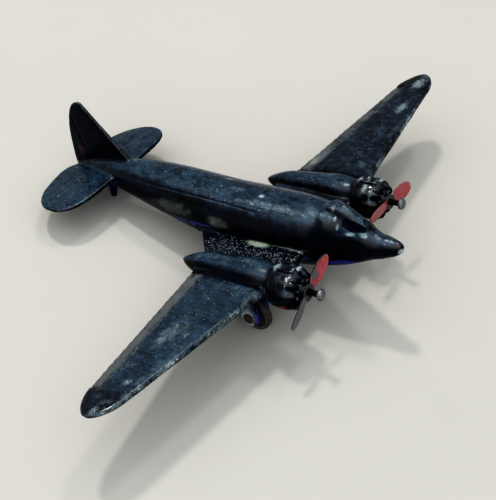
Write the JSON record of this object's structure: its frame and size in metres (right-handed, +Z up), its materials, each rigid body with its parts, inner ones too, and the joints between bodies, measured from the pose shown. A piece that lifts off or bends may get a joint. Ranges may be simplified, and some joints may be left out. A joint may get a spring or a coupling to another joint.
{
  "type": "desktop airliner model",
  "caption": "Small die-cast model of a twin-engined low-wing propeller airliner on fixed wheels and a tail skid, with turning propellers.",
  "frame": {"origin": "centre of the object's footprint on the surface it stands on, with both wheels and the tail skid on Z = 0", "axes": "+X points forward to the nose, +Y to the port wing tip, +Z up"},
  "size_m": [0.0936, 0.1318, 0.029],
  "materials": {
    "casting_paint": "gloss blue-black brush paint over older royal blue, worn through to bare zinc alloy",
    "propeller_paint": "red enamel on stamped sheet, worn at the rims, dark behind",
    "pin_steel": "plated pin with a dull domed head",
    "rivet_steel": "dull steel",
    "axle_steel": "rusted steel, hammered over at the ends",
    "wheel_rubber": "aged brown-black rubber, dusty"
  },
  "bodies": {
    "airframe": {"fuselage": "casting_paint", "wing": "casting_paint", "front_rivet": "rivet_steel", "rear_rivet": "rivet_steel", "left_propeller_pin": "pin_steel", "right_propeller_pin": "pin_steel", "left_axle": "axle_steel", "right_axle": "axle_steel"},
    "left_propeller": {"left_propeller": "propeller_paint"},
    "right_propeller": {"right_propeller": "propeller_paint"},
    "left_wheel": {"left_wheel": "wheel_rubber"},
    "right_wheel": {"right_wheel": "wheel_rubber"}
  },
  "joints": [
    {"name": "left_propeller_spin", "type": "hinge", "parent": "airframe", "child": "left_propeller", "pos_m": [0.03457, 0.0168, 0.01859], "axis": [0.9703, 0, 0.2419], "continuous": true},
    {"name": "right_propeller_spin", "type": "hinge", "parent": "airframe", "child": "right_propeller", "pos_m": [0.03457, -0.0168, 0.01859], "axis": [0.9703, 0, 0.2419], "continuous": true},
    {"name": "left_wheel_spin", "type": "hinge", "parent": "airframe", "child": "left_wheel", "pos_m": [0.02086, 0.0168, 0.00435], "axis": [0, 1, 0], "continuous": true},
    {"name": "right_wheel_spin", "type": "hinge", "parent": "airframe", "child": "right_wheel", "pos_m": [0.02086, -0.0168, 0.00435], "axis": [0, 1, 0], "continuous": true}
  ]
}
